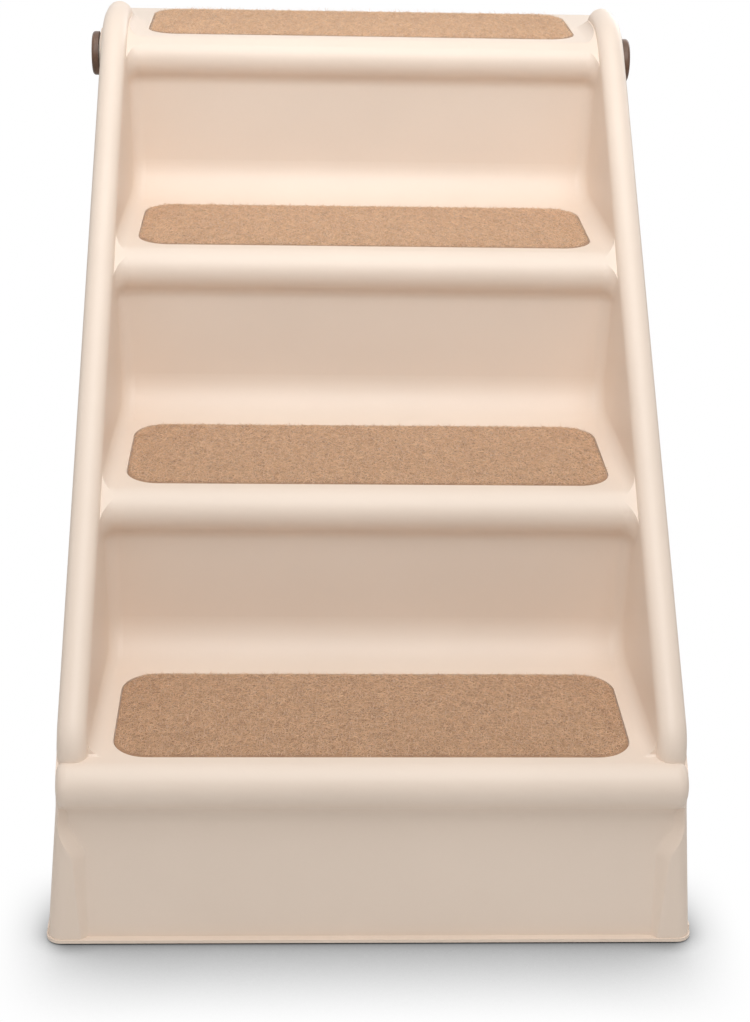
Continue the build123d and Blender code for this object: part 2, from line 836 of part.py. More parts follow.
with BuildPart() as pivot_screw:
    with BuildSketch(Plane.YZ.offset(arm_in_x)):
        with Locations((pivot_y, pivot_z)):
            Circle(screw_head_radius)
    extrude(amount=-screw_head)
    fillet(pivot_screw.faces().sort_by(Axis.X)[0].edges(), screw_head / 2)
    with BuildSketch(Plane.YZ.offset(arm_in_x)):
        with Locations((pivot_y, pivot_z)):
            Circle(screw_radius)
    extrude(amount=screw_length)
    with BuildSketch(Plane.YZ.offset(arm_in_x - screw_head)):
        with Locations((pivot_y, pivot_z)):
            RegularPolygon(socket_radius, 6)
    extrude(amount=socket_depth, mode=Mode.SUBTRACT)

with BuildPart() as lock_bolt:
    with BuildSketch(Plane.YZ.offset(bolt_start_x)):
        with Locations((leg_mid_y, bolt_z)):
            Circle(bolt_radius)
    extrude(amount=bolt_length)
    chamfer(lock_bolt.faces().sort_by(Axis.X)[-1].edges(), bolt_tip_chamfer)

with BuildPart() as bolt_tab:
    with BuildSketch(Plane.YZ.offset(bolt_start_x)):
        with Locations((leg_front_y - tab_height, bolt_z)):
            Rectangle(tab_height + leg_thick / 2 - slot_gap, tab_width, align=(Align.MIN, Align.CENTER))
    extrude(amount=tab_length)
    fillet(bolt_tab.faces().sort_by(Axis.Y)[0].edges(), tab_round)
    with BuildSketch(Plane.YZ.offset(bolt_start_x)):
        with Locations((leg_mid_y, bolt_z)):
            Circle(bolt_radius + seat_gap)
    extrude(amount=tab_length, mode=Mode.SUBTRACT)

with BuildPart() as stop_pad:
    with BuildSketch(Plane.XY.offset(leg_top_z + face_gap)):
        with Locations((arm_mid_x, pivot_y + leg_offset / 2)):
            RectangleRounded(pad_width, pad_length, pad_round)
    extrude(amount=top_z - shell_wall - leg_top_z - face_gap)

with BuildPart() as base_foot:
    with BuildSketch(Plane.XY):
        with Locations((foot_x, foot_y)):
            RectangleRounded(foot_width, foot_length, foot_round)
        with Locations(*base_screw_spots):
            Circle(foot_screw_radius + seat_gap, mode=Mode.SUBTRACT)
    extrude(amount=foot_thick)
    with BuildSketch(Plane.XY):
        with Locations(*base_screw_spots):
            Circle(foot_screw_head_radius + seat_gap)
    extrude(amount=foot_screw_sink + foot_screw_head, mode=Mode.SUBTRACT)

with BuildPart() as leg_foot:
    with BuildSketch(Plane.XY):
        with Locations((leg_foot_x, leg_mid_y)):
            RectangleRounded(leg_foot_length, leg_foot_width, foot_round)
            Circle(foot_screw_radius + seat_gap, mode=Mode.SUBTRACT)
    extrude(amount=leg_floor_gap)
    with BuildSketch(Plane.XY):
        with Locations((leg_foot_x, leg_mid_y)):
            Circle(foot_screw_head_radius + seat_gap)
    extrude(amount=foot_screw_sink + foot_screw_head, mode=Mode.SUBTRACT)

pairs = {
    "pivot_knob": pivot_knob,
    "pivot_bush": pivot_bush,
    "pivot_washer": pivot_washer,
    "pivot_screw": pivot_screw,
    "lock_bolt": lock_bolt,
    "bolt_tab": bolt_tab,
    "stop_pad": stop_pad,
    "base_foot": base_foot,
    "leg_foot": leg_foot,
}
for name, piece in pairs.items():
    piece.part.label = f"{name}_right"
    export_step(piece.part, f"parts/{name}_right.step")
    with BuildPart() as other:
        add(mirror(piece.part, about=Plane.YZ, mode=Mode.PRIVATE))
    other.part.label = f"{name}_left"
    export_step(other.part, f"parts/{name}_left.step")

# Screws that hold the feet from below
screw_groups = {"base_foot_screws": base_screw_spots, "leg_foot_screws": [(leg_foot_x, leg_mid_y)]}
for name, spots in screw_groups.items():
    with BuildPart() as foot_screws:
        with BuildSketch(Plane.XY.offset(foot_screw_sink)):
            with Locations(*spots):
                Circle(foot_screw_head_radius)
        extrude(amount=foot_screw_head)
        with BuildSketch(Plane.XY.offset(foot_screw_sink)):
            with Locations(*spots):
                Circle(foot_screw_radius)
        extrude(amount=foot_screw_length)
        mirror(about=Plane.YZ)
    foot_screws.part.label = name
    export_step(foot_screws.part, f"parts/{name}.step")
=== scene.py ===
"""Folding pet stairs with four carpeted treads, dressed for a studio picture."""

import logging
import math
from dataclasses import dataclass, field
from enum import Enum

import bmesh
import bpy
from mathutils import Matrix, Vector

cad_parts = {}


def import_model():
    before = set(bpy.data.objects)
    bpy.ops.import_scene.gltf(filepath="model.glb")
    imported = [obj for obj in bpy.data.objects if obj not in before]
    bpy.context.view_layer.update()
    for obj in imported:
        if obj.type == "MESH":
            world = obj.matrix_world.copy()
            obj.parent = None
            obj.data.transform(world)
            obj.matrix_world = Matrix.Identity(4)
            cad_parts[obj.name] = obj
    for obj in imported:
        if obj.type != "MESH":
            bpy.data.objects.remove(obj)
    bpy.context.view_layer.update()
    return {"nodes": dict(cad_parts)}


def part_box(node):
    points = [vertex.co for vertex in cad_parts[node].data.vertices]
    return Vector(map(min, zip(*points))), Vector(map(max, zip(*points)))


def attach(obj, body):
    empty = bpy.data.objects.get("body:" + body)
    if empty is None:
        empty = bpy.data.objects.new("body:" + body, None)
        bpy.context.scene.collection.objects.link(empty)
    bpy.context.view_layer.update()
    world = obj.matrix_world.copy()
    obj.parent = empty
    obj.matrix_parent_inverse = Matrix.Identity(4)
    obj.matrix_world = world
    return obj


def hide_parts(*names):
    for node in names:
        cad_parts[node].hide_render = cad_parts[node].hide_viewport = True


LOG = logging.getLogger("pet_stairs")
MM = 0.001
TREADS = (1, 2, 3, 4)
Colour = tuple[float, float, float, float]
Place = tuple[float, float, float]


def shade(red: float, green: float, blue: float) -> Colour:
    """Turns display colour shares into the linear colour that a shader takes.

    Args:
        red: Display red from 0 to 1.
        green: Display green from 0 to 1.
        blue: Display blue from 0 to 1.

    Returns:
        The linear colour with full alpha.
    """

    def linear(share: float) -> float:
        """Takes one display share to its linear share.

        Args:
            share: Display share from 0 to 1.

        Returns:
            The linear share.
        """
        if share <= 0.04045:
            return share / 12.92
        return ((share + 0.055) / 1.055) ** 2.4

    return linear(red), linear(green), linear(blue), 1.0


def show(name: str, data: bpy.types.ID) -> bpy.types.Object:
    """Puts data in the scene as an object at the origin.

    Args:
        name: The object's name.
        data: Its mesh, camera or light.

    Returns:
        The new object.
    """
    thing = bpy.data.objects.new(name, data)
    bpy.context.scene.collection.objects.link(thing)
    return thing


def mesh_from(name: str, work: bmesh.types.BMesh) -> bpy.types.Mesh:
    """Keeps a finished bmesh as mesh data and frees it.

    Args:
        name: The mesh's name.
        work: The bmesh to keep.

    Returns:
        The mesh.
    """
    data = bpy.data.meshes.new(name)
    work.to_mesh(data)
    work.free()
    return data


def dress(piece: bpy.types.Object, material: bpy.types.Material) -> None:
    """Gives a piece one material in place of all it had."""
    piece.data.materials.clear()
    piece.data.materials.append(material)


class Board:
    """The node tree of a material, a group or a world, with short ways to add and join nodes."""

    def __init__(self, tree: bpy.types.NodeTree) -> None:
        """Keeps the tree that the nodes go into."""
        self.tree = tree

    @classmethod
    def cleared(cls, owner: bpy.types.ID) -> "Board":
        """Turns a material's or world's nodes on and takes the first ones out.

        Args:
            owner: The material or world.

        Returns:
            The board of its empty tree.
        """
        owner.use_nodes = True
        owner.node_tree.nodes.clear()
        return cls(owner.node_tree)

    def add(
        self, kind: str, inputs: dict[str | int, object] | None = None, **settings: object
    ) -> bpy.types.Node:
        """Adds a node.

        Args:
            kind: The node's type name.
            inputs: Values of its sockets, by name or number.
            settings: Its properties.

        Returns:
            The new node.
        """
        node = self.tree.nodes.new(kind)
        for name, value in settings.items():
            setattr(node, name, value)
        for socket, value in (inputs or {}).items():
            node.inputs[socket].default_value = value
        return node

    def join(self, start: bpy.types.NodeSocket, end: bpy.types.NodeSocket) -> None:
        """Links one socket to another."""
        self.tree.links.new(start, end)

    def reckon(self, operation: str, first: bpy.types.NodeSocket, *rest: object) -> bpy.types.NodeSocket:
        """Adds a sum of sockets and numbers.

        Args:
            operation: The kind of sum.
            first: The first socket.
            rest: The other sockets or numbers.

        Returns:
            The result's socket.
        """
        node = self.add("ShaderNodeMath", operation=operation)
        self.join(first, node.inputs[0])
        for place, value in enumerate(rest, start=1):
            if isinstance(value, bpy.types.NodeSocket):
                self.join(value, node.inputs[place])
            else:
                node.inputs[place].default_value = value
        return node.outputs[0]


class SurfaceGroups:
    """Shader node groups that more than one finish of the stairs uses."""

    def __init__(self) -> None:
        """Builds each group once."""
        self.grain = self._moulded_grain()
        self.wear = self._edge_wear()
        self.mottle = self._mottle()

    @staticmethod
    def _start(
        name: str, inputs: dict[str, float], outputs: list[str]
    ) -> tuple[Board, bpy.types.Node, bpy.types.Node]:
        """Opens a group with float inputs and float outputs.

        Args:
            name: The group's name.
            inputs: Default value of each input.
            outputs: Names of the outputs.

        Returns:
            The board, the input node and the output node.
        """
        tree = bpy.data.node_groups.new(name, "ShaderNodeTree")
        for socket, value in inputs.items():
            made = tree.interface.new_socket(name=socket, in_out="INPUT", socket_type="NodeSocketFloat")
            made.default_value = value
        for socket in outputs:
            tree.interface.new_socket(name=socket, in_out="OUTPUT", socket_type="NodeSocketFloat")
        board = Board(tree)
        return board, board.add("NodeGroupInput"), board.add("NodeGroupOutput")

    @staticmethod
    def _noise(
        board: Board, place: bpy.types.Node, scale: bpy.types.NodeSocket, detail: float
    ) -> bpy.types.NodeSocket:
        """Adds a noise on the piece's own coordinates.

        Args:
            board: The group's board.
            place: The node that gives the coordinates.
            scale: The socket that gives the noise's scale.
            detail: How many finer layers it has.

        Returns:
            The noise from 0 to 1.
        """
        noise = board.add("ShaderNodeTexNoise", {"Detail": detail})
        board.join(place.outputs["Object"], noise.inputs["Vector"])
        board.join(scale, noise.inputs["Scale"])
        return noise.outputs["Fac"]

    def _moulded_grain(self) -> bpy.types.NodeTree:
        """Adds up fine grain and slow waviness of a moulded wall.

        Returns:
            The group, which puts out a height.
        """
        grain_share = 0.35
        grain_detail, wave_detail = 2.0, 3.0
        values = {"Grain Scale": 900.0, "Wave Scale": 14.0}
        board, start, end = self._start("moulded_grain", values, ["Height"])
        place = board.add("ShaderNodeTexCoord")
        grain = self._noise(board, place, start.outputs["Grain Scale"], grain_detail)
        wave = self._noise(board, place, start.outputs["Wave Scale"], wave_detail)
        board.join(board.reckon("MULTIPLY_ADD", grain, grain_share, wave), end.inputs["Height"])
        return board.tree

    def _edge_wear(self) -> bpy.types.NodeTree:
        """Finds rubbed corners from how sharply the surface bends.

        Returns:
            The group, which puts out a mask.
        """
        bend_start, bend_full = 0.52, 0.62
        board, start, end = self._start("edge_wear", {"Amount": 0.5}, ["Mask"])
        shape = board.add("ShaderNodeNewGeometry")
        sharp = board.add("ShaderNodeMapRange", {"From Min": bend_start, "From Max": bend_full})
        board.join(shape.outputs["Pointiness"], sharp.inputs["Value"])
        board.join(board.reckon("MULTIPLY", sharp.outputs[0], start.outputs["Amount"]), end.inputs["Mask"])
        return board.tree

    def _mottle(self) -> bpy.types.NodeTree:
        """Mixes soft blotches and fine specks for plastic, felt, rubber and metal.

        Returns:
            The group, which puts out a share.
        """
        blotch_detail, speck_detail = 4.0, 2.0
        values = {"Blotch Scale": 40.0, "Speck Scale": 700.0, "Speck Share": 0.5}
        board, start, end = self._start("mottle", values, ["Fac"])
        place = board.add("ShaderNodeTexCoord")
        blotch = self._noise(board, place, start.outputs["Blotch Scale"], blotch_detail)
        speck = self._noise(board, place, start.outputs["Speck Scale"], speck_detail)
        mix = board.add("ShaderNodeMix", data_type="FLOAT")
        board.join(start.outputs["Speck Share"], mix.inputs[0])
        board.join(blotch, mix.inputs[2])
        board.join(speck, mix.inputs[3])
        board.join(mix.outputs[0], end.inputs["Fac"])
        return board.tree


@dataclass(frozen=True)
class Finish:
    """A finish whose colour runs between two tones and whose surface has a fine relief."""

    name: str
    dark: Colour
    light: Colour
    roughness: float = 0.5
    roughness_spread: float = 0.05
    metallic: float = 0.0
    sheen: float = 0.0
    sheen_roughness: float = 0.5
    coat: float = 0.0
    blotch_scale: float = 40.0
    speck_scale: float = 700.0
    speck_share: float = 0.5
    mottle_low: float = 0.35
    mottle_high: float = 0.65
    relief: float = 0.2 * MM
    relief_strength: float = 0.3
    wear: float = 0.0
    worn: Colour = (1.0, 1.0, 1.0, 1.0)
    tone_attribute: str = ""
    tone_share: float = 0.75

    def _tone(self, board: Board, mottle: bpy.types.NodeSocket) -> bpy.types.NodeSocket:
        """Mixes the two tones by the mottle, and by each fibre's own tone where it has one.

        Args:
            board: The material's board.
            mottle: The mottle from 0 to 1.

        Returns:
            The colour.
        """
        limits = {"From Min": self.mottle_low, "From Max": self.mottle_high}
        spread = board.add("ShaderNodeMapRange", limits)
        board.join(mottle, spread.inputs["Value"])
        share = spread.outputs[0]
        if self.tone_attribute:
            own = board.add("ShaderNodeAttribute", attribute_name=self.tone_attribute)
            rest = board.reckon("MULTIPLY", share, 1 - self.tone_share)
            share = board.reckon("MULTIPLY_ADD", own.outputs["Fac"], self.tone_share, rest)
        tone = board.add("ShaderNodeMix", {6: self.dark, 7: self.light}, data_type="RGBA")
        board.join(share, tone.inputs[0])
        return tone.outputs[2]

    def _rubbed(
        self, board: Board, groups: SurfaceGroups, colour: bpy.types.NodeSocket
    ) -> bpy.types.NodeSocket:
        """Lays the rubbed colour over the corners.

        Args:
            board: The material's board.
            groups: The shared node groups.
            colour: The colour so far.

        Returns:
            The colour with its rubbed corners.
        """
        rubbed = board.add("ShaderNodeGroup", node_tree=groups.wear)
        rubbed.inputs["Amount"].default_value = self.wear
        over = board.add("ShaderNodeMix", {7: self.worn}, data_type="RGBA")
        board.join(rubbed.outputs["Mask"], over.inputs[0])
        board.join(colour, over.inputs[6])
        return over.outputs[2]

    def _relief(self, board: Board, groups: SurfaceGroups) -> bpy.types.NodeSocket:
        """Turns the moulded grain into a tilted normal.

        Args:
            board: The material's board.
            groups: The shared node groups.

        Returns:
            The normal.
        """
        grain = board.add("ShaderNodeGroup", node_tree=groups.grain)
        grain.inputs["Grain Scale"].default_value = self.speck_scale
        grain.inputs["Wave Scale"].default_value = self.blotch_scale
        bump = board.add("ShaderNodeBump", {"Strength": self.relief_strength, "Distance": self.relief})
        board.join(grain.outputs["Height"], bump.inputs["Height"])
        return bump.outputs["Normal"]

    def build(self, groups: SurfaceGroups) -> bpy.types.Material:
        """Makes the material.

        Args:
            groups: The shared node groups.

        Returns:
            The new material.
        """
        material = bpy.data.materials.new(self.name)
        board = Board.cleared(material)
        end = board.add("ShaderNodeOutputMaterial")
        values = {
            "Metallic": self.metallic,
            "Sheen Weight": self.sheen,
            "Sheen Roughness": self.sheen_roughness,
            "Coat Weight": self.coat,
        }
        skin = board.add("ShaderNodeBsdfPrincipled", values)
        mottle = board.add("ShaderNodeGroup", node_tree=groups.mottle)
        mottle.inputs["Blotch Scale"].default_value = self.blotch_scale
        mottle.inputs["Speck Scale"].default_value = self.speck_scale
        mottle.inputs["Speck Share"].default_value = self.speck_share
        colour = self._tone(board, mottle.outputs["Fac"])
        if self.wear:
            colour = self._rubbed(board, groups, colour)
        smooth = self.roughness - self.roughness_spread
        dull = self.roughness + self.roughness_spread
        rough = board.add("ShaderNodeMapRange", {"To Min": smooth, "To Max": dull})
        board.join(mottle.outputs["Fac"], rough.inputs["Value"])
        board.join(colour, skin.inputs["Base Color"])
        board.join(rough.outputs[0], skin.inputs["Roughness"])
        board.join(self._relief(board, groups), skin.inputs["Normal"])
        board.join(skin.outputs[0], end.inputs["Surface"])
        return material


STAIR_PLASTIC = Finish(
    "stair_plastic",
    dark=shade(0.93, 0.866, 0.808),
    light=shade(0.945, 0.881, 0.823),
    roughness=0.42,
    blotch_scale=9.0,
    speck_scale=1100.0,
    speck_share=0.25,
    relief=0.08 * MM,
    wear=0.25,
    worn=shade(0.96, 0.90, 0.84),
)
LEG_PLASTIC = Finish(
    "leg_plastic",
    dark=shade(0.92, 0.845, 0.775),
    light=shade(0.935, 0.86, 0.79),
    roughness=0.46,
    blotch_scale=12.0,
    speck_scale=1100.0,
    speck_share=0.3,
    relief=0.1 * MM,
    wear=0.25,
    worn=shade(0.95, 0.89, 0.83),
)
# The felt under the pile: its own colour, kept darker than the fibres so that its bare rim at the pad's
# front and sides shows as a painted shade line.
CARPET_BACK_AND_EDGE_SHADE = Finish(
    "carpet_back_edge_shade",
    dark=shade(0.60, 0.46, 0.35),
    light=shade(0.72, 0.57, 0.44),
    roughness=0.95,
    sheen=0.3,
    blotch_scale=60.0,
    speck_scale=600.0,
    speck_share=0.6,
    relief=0.8 * MM,
)
CARPET_PILE = Finish(
    "carpet_pile",
    dark=shade(0.74, 0.585, 0.45),
    light=shade(0.99, 0.855, 0.71),
    roughness=0.9,
    sheen=0.9,
    blotch_scale=150.0,
    speck_scale=500.0,
    speck_share=0.4,
    tone_attribute="tone",
)
KNOB_PLASTIC = Finish(
    "knob_plastic",
    dark=shade(0.36, 0.26, 0.20),
    light=shade(0.45, 0.34, 0.27),
    roughness=0.38,
    blotch_scale=80.0,
    speck_scale=1500.0,
    speck_share=0.4,
    relief=0.1 * MM,
    wear=0.3,
    worn=shade(0.55, 0.45, 0.37),
)
BUSH_PLASTIC = Finish(
    "bush_plastic",
    dark=shade(0.87, 0.84, 0.79),
    light=shade(0.91, 0.88, 0.84),
    roughness=0.4,
    relief=0.05 * MM,
)
SCREW_STEEL = Finish(
    "screw_steel",
    dark=shade(0.60, 0.60, 0.61),
    light=shade(0.72, 0.72, 0.73),
    roughness=0.32,
    metallic=1.0,
    blotch_scale=200.0,
    speck_scale=2500.0,
    relief=0.05 * MM,
)
BOLT_STEEL = Finish(
    "bolt_steel",
    dark=shade(0.64, 0.64, 0.65),
    light=shade(0.74, 0.74, 0.75),
    roughness=0.28,
    metallic=1.0,
    blotch_scale=150.0,
    speck_scale=2500.0,
    relief=0.04 * MM,
)
TUBE_PAINT = Finish(
    "tube_paint",
    dark=shade(0.90, 0.83, 0.75),
    light=shade(0.93, 0.86, 0.79),
    roughness=0.4,
    coat=0.2,
    blotch_scale=60.0,
    speck_scale=1800.0,
    relief=0.05 * MM,
)
FOOT_RUBBER = Finish(
    "foot_rubber",
    dark=shade(0.13, 0.12, 0.11),
    light=shade(0.20, 0.19, 0.18),
    roughness=0.8,
    blotch_scale=120.0,
    speck_scale=1500.0,
    wear=0.3,
    worn=shade(0.32, 0.31, 0.30),
)


class FinishShelf:
    """Builds each finish once and hands out its material."""

    def __init__(self) -> None:
        """Builds the shared groups."""
        self.groups = SurfaceGroups()
        self._made: dict[str, bpy.types.Material] = {}

    def take(self, finish: Finish) -> bpy.types.Material:
        """Gives the material of a finish.

        Args:
            finish: The finish wanted.

        Returns:
            Its material, built the first time.
        """
        if finish.name not in self._made:
            self._made[finish.name] = finish.build(self.groups)
        return self._made[finish.name]


@dataclass
class Assembly:
    """Pieces of the frame that are dressed together, each with its finish."""

    shelf: FinishShelf
    finishes: dict[str, Finish] = field(default_factory=dict)

    def build(self, nodes: dict[str, bpy.types.Object]) -> list[bpy.types.Object]:
        """Dresses the assembly's pieces.

        Args:
            nodes: The frame's nodes by name.

        Returns:
            The dressed pieces.
        """
        for name, finish in self.finishes.items():
            dress(nodes[name], self.shelf.take(finish))
        return [nodes[name] for name in self.finishes]


@dataclass
class MouldedStairs(Assembly):
    """The one-piece shell with its bushes, washers, stop pads and feet."""

    finishes: dict[str, Finish] = field(
        default_factory=lambda: {
            "stair_shell": STAIR_PLASTIC,
            "pivot_bush_left": BUSH_PLASTIC,
            "pivot_bush_right": BUSH_PLASTIC,
            "pivot_washer_left": BUSH_PLASTIC,
            "pivot_washer_right": BUSH_PLASTIC,
            "stop_pad_left": FOOT_RUBBER,
            "stop_pad_right": FOOT_RUBBER,
            "base_foot_left": FOOT_RUBBER,
            "base_foot_right": FOOT_RUBBER,
            "base_foot_screws": SCREW_STEEL,
        }
    )


@dataclass
class FoldingLeg(Assembly):
    """The rear leg frame with its tube, pivots, lock bolts and feet."""

    finishes: dict[str, Finish] = field(
        default_factory=lambda: {
            "rear_leg": LEG_PLASTIC,
            "cross_tube": TUBE_PAINT,
            "pivot_knob_left": KNOB_PLASTIC,
            "pivot_knob_right": KNOB_PLASTIC,
            "pivot_screw_left": SCREW_STEEL,
            "pivot_screw_right": SCREW_STEEL,
            "lock_bolt_left": BOLT_STEEL,
            "lock_bolt_right": BOLT_STEEL,
            "bolt_tab_left": KNOB_PLASTIC,
            "bolt_tab_right": KNOB_PLASTIC,
            "leg_foot_left": FOOT_RUBBER,
            "leg_foot_right": FOOT_RUBBER,
            "leg_foot_screws": SCREW_STEEL,
        }
    )


class Draw(Enum):
    """What a random draw gives each fibre: one number, or the three of a turn."""

    NUMBER = "FLOAT"
    TURN = "FLOAT_VECTOR"


@dataclass
class TreadCarpet:
    """A felt pad in the shallow recess of one tread, with its pile of short fibres."""

    shelf: FinishShelf
    step: int
    corner: float = 22.0 * MM
    corner_segments: int = 14
    pile_height: float = 1.0 * MM
    edge_round: float = 1.2 * MM
    edge_segments: int = 4
    tightness: float = 0.9
    fibre_length: float = 4.5 * MM
    fibre_width: float = 0.4 * MM
    fibre_density: float = 1500000.0
    fibre_scales: tuple[float, float] = (0.5, 1.15)
    merge_share: float = 0.01
    lean_seed: int = 10
    size_seed: int = 20
    tone_seed: int = 30
    lean_from: float = 1.05
    lean_to: float = 1.55
    # The bare rim that these insets leave at the pad's front and sides shows the darker felt as a painted
    # shade line.
    front_shade_inset: float = 2.0 * MM
    side_shade_inset: float = 1.5 * MM
    upright: float = 0.9
    ground_rise: float = 0.5

    @property
    def node(self) -> str:
        """Name of the frame's node that the pad stands for."""
        return f"tread_carpet_{self.step}"

    def _pad(self) -> bpy.types.Object:
        """Makes the felt body of the pad.

        Returns:
            The pad's object.
        """
        low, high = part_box(self.node)
        size = high - low
        work = bmesh.new()
        bmesh.ops.create_cube(work, size=1.0)
        bmesh.ops.scale(work, vec=(size.x, size.y, size.z - self.pile_height), verts=work.verts)
        middle = (low + high) / 2 - Vector((0, 0, self.pile_height / 2))
        bmesh.ops.translate(work, vec=middle, verts=work.verts)
        edges = {edge: (edge.verts[0].co - edge.verts[1].co).normalized() for edge in work.edges}
        corners = [edge for edge, way in edges.items() if abs(way.z) > self.upright]
        bevel = {"profile": 0.5, "affect": "EDGES", "material": -1}
        bmesh.ops.bevel(work, geom=corners, offset=self.corner, segments=self.corner_segments, **bevel)
        top = max(work.faces, key=lambda face: face.calc_center_median().z)
        rim = list(top.edges)
        bmesh.ops.bevel(work, geom=rim, offset=self.edge_round, segments=self.edge_segments, **bevel)
        for face in work.faces:
            face.smooth = True
        name = f"carpet_{self.step}"
        return show(name, mesh_from(name, work))

    def _ground(self, pad: bpy.types.Object) -> bpy.types.Mesh:
        """Copies the pad's top, a little smaller, as the ground that the fibres grow from; the bare rim
        left at the front and sides shows the darker felt as a painted shade line.

        Args:
            pad: The felt body.

        Returns:
            The ground as an open mesh.
        """
        low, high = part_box(self.node)
        size = high - low
        work = bmesh.new()
        work.from_mesh(pad.data)
        sides = [face for face in work.faces if face.normal.z < self.ground_rise]
        bmesh.ops.delete(work, geom=sides, context="FACES")
        shrink = Vector((1 - 2 * self.side_shade_inset / size.x, 1 - self.front_shade_inset / size.y, 1))
        bmesh.ops.scale(work, vec=shrink, space=Matrix.Translation(-(low + high) / 2), verts=work.verts)
        bmesh.ops.translate(work, vec=(0, self.front_shade_inset / 2, 0), verts=work.verts)
        return mesh_from(f"carpet_ground_{self.step}", work)

    def _fibre(self) -> bpy.types.Object:
        """Makes one pointed fibre of three sides that the pile repeats.

        Returns:
            The fibre's object.
        """
        work = bmesh.new()
        half_width = self.fibre_width / 2
        length = self.fibre_length
        bmesh.ops.create_cone(work, cap_ends=False, segments=3, radius1=half_width, radius2=0, depth=length)
        bmesh.ops.remove_doubles(work, verts=work.verts, dist=self.fibre_width * self.merge_share)
        bmesh.ops.translate(work, vec=(0, 0, length / 2), verts=work.verts)
        return show("fibre", mesh_from("fibre", work))

    def _chance(
        self, board: Board, draw: Draw, low: object, high: object, seed: int
    ) -> bpy.types.NodeSocket:
        """Adds a random value for each fibre.

        Args:
            board: The pile's board.
            draw: What the draw gives.
            low: Its least value.
            high: Its greatest value.
            seed: Start of this pad's draws.

        Returns:
            The value's socket.
        """
        sockets = {Draw.TURN: (0, 1, 0), Draw.NUMBER: (2, 3, 1)}
        least, most, result = sockets[draw]
        node = board.add("FunctionNodeRandomValue", data_type=draw.value)
        node.inputs[least].default_value = low
        node.inputs[most].default_value = high
        node.inputs["Seed"].default_value = seed + self.step
        return node.outputs[result]

    def _pile_tree(self, fibre: bpy.types.Object) -> bpy.types.NodeTree:
        """Builds the nodes that strew the fibre, nearly flat and pointing all ways.

        Args:
            fibre: The fibre to repeat.

        Returns:
            The geometry node tree.
        """
        tree = bpy.data.node_groups.new("carpet_pile", "GeometryNodeTree")
        for way in ("INPUT", "OUTPUT"):
            tree.interface.new_socket(name="Geometry", in_out=way, socket_type="NodeSocketGeometry")
        board = Board(tree)
        start = board.add("NodeGroupInput")
        end = board.add("NodeGroupOutput")
        strewn = {"Density": self.fibre_density, "Seed": self.step}
        spread = board.add("GeometryNodeDistributePointsOnFaces", strewn)
        shape = board.add("GeometryNodeObjectInfo", {"Object": fibre})
        put = board.add("GeometryNodeInstanceOnPoints")
        turn = board.add("FunctionNodeRotateEuler", rotation_type="EULER", space="LOCAL")
        name = {"Name": CARPET_PILE.tone_attribute}
        keep = board.add("GeometryNodeStoreNamedAttribute", name, data_type="FLOAT", domain="INSTANCE")
        solid = board.add("GeometryNodeRealizeInstances")
        steepest = (self.lean_from, 0, -math.pi)
        flattest = (self.lean_to, 0, math.pi)
        lean = self._chance(board, Draw.TURN, steepest, flattest, self.lean_seed)
        size = self._chance(board, Draw.NUMBER, *self.fibre_scales, self.size_seed)
        tone = self._chance(board, Draw.NUMBER, 0, 1, self.tone_seed)
        board.join(start.outputs[0], spread.inputs["Mesh"])
        board.join(spread.outputs["Points"], put.inputs["Points"])
        board.join(shape.outputs["Geometry"], put.inputs["Instance"])
        board.join(spread.outputs["Rotation"], turn.inputs[0])
        board.join(lean, turn.inputs[1])
        board.join(turn.outputs[0], put.inputs["Rotation"])
        board.join(size, put.inputs["Scale"])
        board.join(put.outputs[0], keep.inputs["Geometry"])
        board.join(tone, keep.inputs["Value"])
        board.join(keep.outputs[0], solid.inputs["Geometry"])
        board.join(solid.outputs[0], end.inputs[0])
        return tree

    def _pile(self, pad: bpy.types.Object) -> bpy.types.Object:
        """Covers the pad with fibres.

        Args:
            pad: The felt body.

        Returns:
            The pile as a mesh object of its own.
        """
        fibre = self._fibre()
        made = show(f"carpet_pile_{self.step}", self._ground(pad))
        made.modifiers.new("pile", "NODES").node_group = self._pile_tree(fibre)
        depsgraph = bpy.context.evaluated_depsgraph_get()
        data = bpy.data.meshes.new_from_object(made.evaluated_get(depsgraph))
        made.modifiers.clear()
        made.data = data
        bpy.data.objects.remove(fibre)
        return made

    def build(self) -> list[bpy.types.Object]:
        """Makes the pad and its pile and lets them stand for the frame's node.

        Returns:
            The pad and the pile.
        """
        pad = self._pad()
        # The pad's darker felt shows at its bare front and side rim as a painted shade line.
        dress(pad, self.shelf.take(CARPET_BACK_AND_EDGE_SHADE))
        pile = self._pile(pad)
        dress(pile, self.shelf.take(CARPET_PILE))
        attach(pad, "stairs")
        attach(pile, "stairs")
        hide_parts(self.node)
        return [pad, pile]


@dataclass(frozen=True)
class Lamp:
    """A soft rectangular lamp: where it hangs, what it points at, its size, watts and spread in degrees."""

    name: str
    place: Place
    aim: Place
    size: tuple[float, float]
    power: float
    spread: float = 180.0

    def hang(self) -> None:
        """Puts the lamp in the scene."""
        data = bpy.data.lights.new(self.name, "AREA")
        data.shape = "RECTANGLE"
        data.size, data.size_y = self.size
        data.energy = self.power
        data.spread = math.radians(self.spread)
        lamp = show(self.name, data)
        lamp.location = self.place
        lamp.rotation_euler = (Vector(self.aim) - Vector(self.place)).to_track_quat("-Z", "Y").to_euler()


